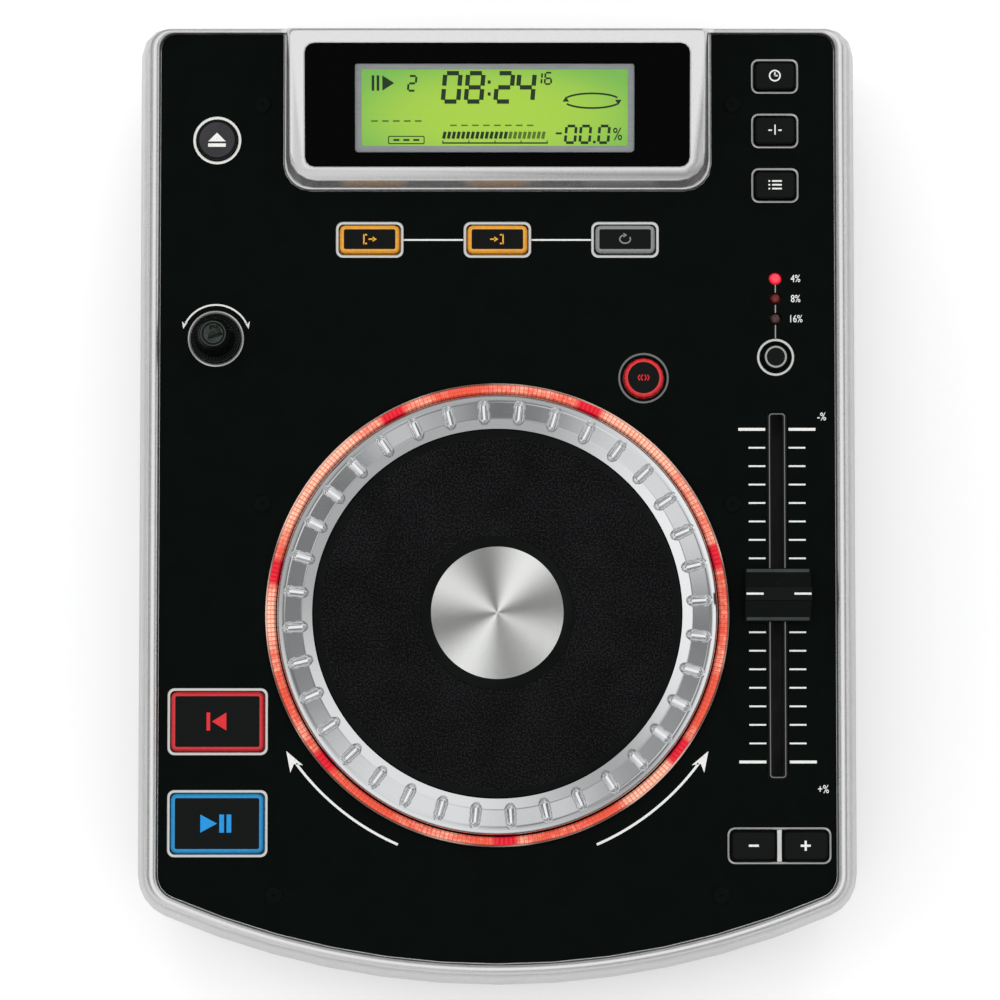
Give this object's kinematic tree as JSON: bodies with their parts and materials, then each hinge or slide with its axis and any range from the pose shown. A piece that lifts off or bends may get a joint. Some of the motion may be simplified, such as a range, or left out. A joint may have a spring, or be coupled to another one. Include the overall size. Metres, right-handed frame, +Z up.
{
  "type": "tabletop dj cd player",
  "caption": "Tabletop CD player with a jog wheel, pitch fader, sloping display hood, push buttons and a front disc slot.",
  "frame": {"origin": "on the table under the middle of the body", "axes": "+X to the right, +Y to the back, +Z up, seen by the person at the front"},
  "size_m": [0.218, 0.291, 0.096],
  "materials": {
    "silver_plastic": "silver lacquer, satin",
    "black_panel": "satin black paint",
    "black_plastic": "matt",
    "dark_window": "polished",
    "lcd_green": "lit yellow-green",
    "red_lens": "translucent",
    "amber_lens": "translucent",
    "blue_lens": "translucent",
    "grey_cap": "matt",
    "steel": "bare sheet",
    "spun_metal": "spun",
    "rubber": "matt",
    "circuit_green": "solder mask",
    "bronze": "plain",
    "white_plastic": "matt",
    "black_steel": "powder coat"
  },
  "bodies": {
    "player": {"upper_housing": "silver_plastic", "faceplate": "black_panel", "base_pan": "black_steel", "rear_panel": "black_steel", "foot_back_left": "rubber", "foot_back_right": "rubber", "foot_front_left": "rubber", "foot_front_right": "rubber", "display_window": "dark_window", "lcd_module": "lcd_green", "jog_light_ring": "red_lens", "jog_tray": "black_plastic", "jog_bearing": "bronze", "track_encoder_body": "steel", "fader_body": "steel", "fader_slot_trim": "black_plastic", "range_lamp_1": "red_lens", "range_lamp_2": "red_lens", "range_lamp_3": "red_lens", "control_board": "circuit_green", "main_board": "circuit_green", "power_supply": "circuit_green", "mains_inlet": "black_plastic", "audio_sockets": "black_plastic", "slot_bezel": "black_plastic", "drive_chassis": "steel", "disc_guide_plate": "steel", "disc_clamp": "white_plastic"},
    "jog_wheel": {"jog_rim": "silver_plastic", "jog_disc": "black_plastic", "jog_cap": "spun_metal", "jog_shaft": "steel", "jog_encoder_disc": "steel"},
    "fader": {"fader_cap": "black_plastic", "fader_carriage": "black_plastic"},
    "track_plunger": {"track_switch_plunger": "white_plastic"},
    "track_knob": {"track_knob": "black_plastic", "track_encoder_shaft": "steel"},
    "power_rocker": {"power_rocker": "black_plastic"},
    "roller_cradle": {"roller_cradle": "black_steel"},
    "feed_roller": {"feed_roller": "rubber"},
    "traverse": {"traverse_deck": "black_steel", "spindle_motor": "steel", "guide_rod": "steel"},
    "turntable": {"turntable_hub": "white_plastic"},
    "pickup": {"optical_pickup": "black_plastic"},
    "lead_screw": {"lead_screw": "bronze"},
    "eject_button": {"eject_button": "grey_cap"},
    "time_button": {"time_button": "grey_cap"},
    "single_button": {"single_button": "grey_cap"},
    "program_button": {"program_button": "grey_cap"},
    "loop_in_button": {"loop_in_button": "amber_lens"},
    "loop_out_button": {"loop_out_button": "amber_lens"},
    "reloop_button": {"reloop_button": "grey_cap"},
    "search_button": {"search_button": "red_lens"},
    "pitch_range_button": {"pitch_range_button": "grey_cap"},
    "cue_button": {"cue_button": "red_lens"},
    "play_button": {"play_button": "blue_lens"},
    "pitch_down_button": {"pitch_down_button": "grey_cap"},
    "pitch_up_button": {"pitch_up_button": "grey_cap"}
  },
  "joints": [
    {"name": "jog_spin", "type": "hinge", "parent": "player", "child": "jog_wheel", "pos_m": [0, -0.0345, 0.08], "axis": [0, 0, 1], "continuous": true},
    {"name": "pitch_slide", "type": "slide", "parent": "player", "child": "fader", "axis": [0, 1, 0], "range_m": [-0.05, 0.05]},
    {"name": "track_push", "type": "slide", "parent": "player", "child": "track_plunger", "axis": [0, 0, -1], "range_m": [0, 0.0005], "stiffness_N_per_m": 600, "springref_m": -0.0005},
    {"name": "track_turn", "type": "hinge", "parent": "track_plunger", "child": "track_knob", "pos_m": [-0.0848, 0.0487, 0.088], "axis": [0, 0, 1], "continuous": true},
    {"name": "eject_press", "type": "slide", "parent": "player", "child": "eject_button", "axis": [0, 0, -1], "range_m": [0, 0.001], "stiffness_N_per_m": 400, "springref_m": -0.001},
    {"name": "time_press", "type": "slide", "parent": "player", "child": "time_button", "axis": [0, 0, -1], "range_m": [0, 0.001], "stiffness_N_per_m": 400, "springref_m": -0.001},
    {"name": "single_press", "type": "slide", "parent": "player", "child": "single_button", "axis": [0, 0, -1], "range_m": [0, 0.001], "stiffness_N_per_m": 400, "springref_m": -0.001},
    {"name": "program_press", "type": "slide", "parent": "player", "child": "program_button", "axis": [0, 0, -1], "range_m": [0, 0.001], "stiffness_N_per_m": 400, "springref_m": -0.001},
    {"name": "loop_in_press", "type": "slide", "parent": "player", "child": "loop_in_button", "axis": [0, 0, -1], "range_m": [0, 0.001], "stiffness_N_per_m": 400, "springref_m": -0.001},
    {"name": "loop_out_press", "type": "slide", "parent": "player", "child": "loop_out_button", "axis": [0, 0, -1], "range_m": [0, 0.001], "stiffness_N_per_m": 400, "springref_m": -0.001},
    {"name": "reloop_press", "type": "slide", "parent": "player", "child": "reloop_button", "axis": [0, 0, -1], "range_m": [0, 0.001], "stiffness_N_per_m": 400, "springref_m": -0.001},
    {"name": "search_press", "type": "slide", "parent": "player", "child": "search_button", "axis": [0, 0, -1], "range_m": [0, 0.001], "stiffness_N_per_m": 400, "springref_m": -0.001},
    {"name": "pitch_range_press", "type": "slide", "parent": "player", "child": "pitch_range_button", "axis": [0, 0, -1], "range_m": [0, 0.001], "stiffness_N_per_m": 400, "springref_m": -0.001},
    {"name": "cue_press", "type": "slide", "parent": "player", "child": "cue_button", "axis": [0, 0, -1], "range_m": [0, 0.0015], "stiffness_N_per_m": 400, "springref_m": -0.001},
    {"name": "play_press", "type": "slide", "parent": "player", "child": "play_button", "axis": [0, 0, -1], "range_m": [0, 0.0015], "stiffness_N_per_m": 400, "springref_m": -0.001},
    {"name": "pitch_down_press", "type": "slide", "parent": "player", "child": "pitch_down_button", "axis": [0, 0, -1], "range_m": [0, 0.001], "stiffness_N_per_m": 400, "springref_m": -0.001},
    {"name": "pitch_up_press", "type": "slide", "parent": "player", "child": "pitch_up_button", "axis": [0, 0, -1], "range_m": [0, 0.001], "stiffness_N_per_m": 400, "springref_m": -0.001},
    {"name": "power_rock", "type": "hinge", "parent": "player", "child": "power_rocker", "pos_m": [-0.036, 0.13305, 0.0465], "axis": [1, 0, 0], "range_deg": [-12, 0]},
    {"name": "roller_lift", "type": "hinge", "parent": "player", "child": "roller_cradle", "pos_m": [0, -0.1185, 0.0398], "axis": [-1, 0, 0], "range_deg": [0, 14]},
    {"name": "roller_spin", "type": "hinge", "parent": "roller_cradle", "child": "feed_roller", "pos_m": [0, -0.1275, 0.0398], "axis": [1, 0, 0], "continuous": true},
    {"name": "traverse_lift", "type": "hinge", "parent": "player", "child": "traverse", "pos_m": [0, 0.0035, 0.031], "axis": [-1, 0, 0], "range_deg": [0, 3.5]},
    {"name": "turntable_spin", "type": "hinge", "parent": "traverse", "child": "turntable", "pos_m": [0, -0.0705, 0.041], "axis": [0, 0, 1], "continuous": true},
    {"name": "pickup_slide", "type": "slide", "parent": "traverse", "child": "pickup", "axis": [0, 1, 0], "range_m": [0, 0.034]},
    {"name": "lead_screw_turn", "type": "hinge", "parent": "traverse", "child": "lead_screw", "pos_m": [0.023, -0.0345, 0.037], "axis": [0, 1, 0], "range_deg": [-5, 4085]}
  ],
  "couplings": [
    {"joint": "lead_screw_turn", "follows": "pickup_slide", "rad_per_m": 2094.4}
  ]
}
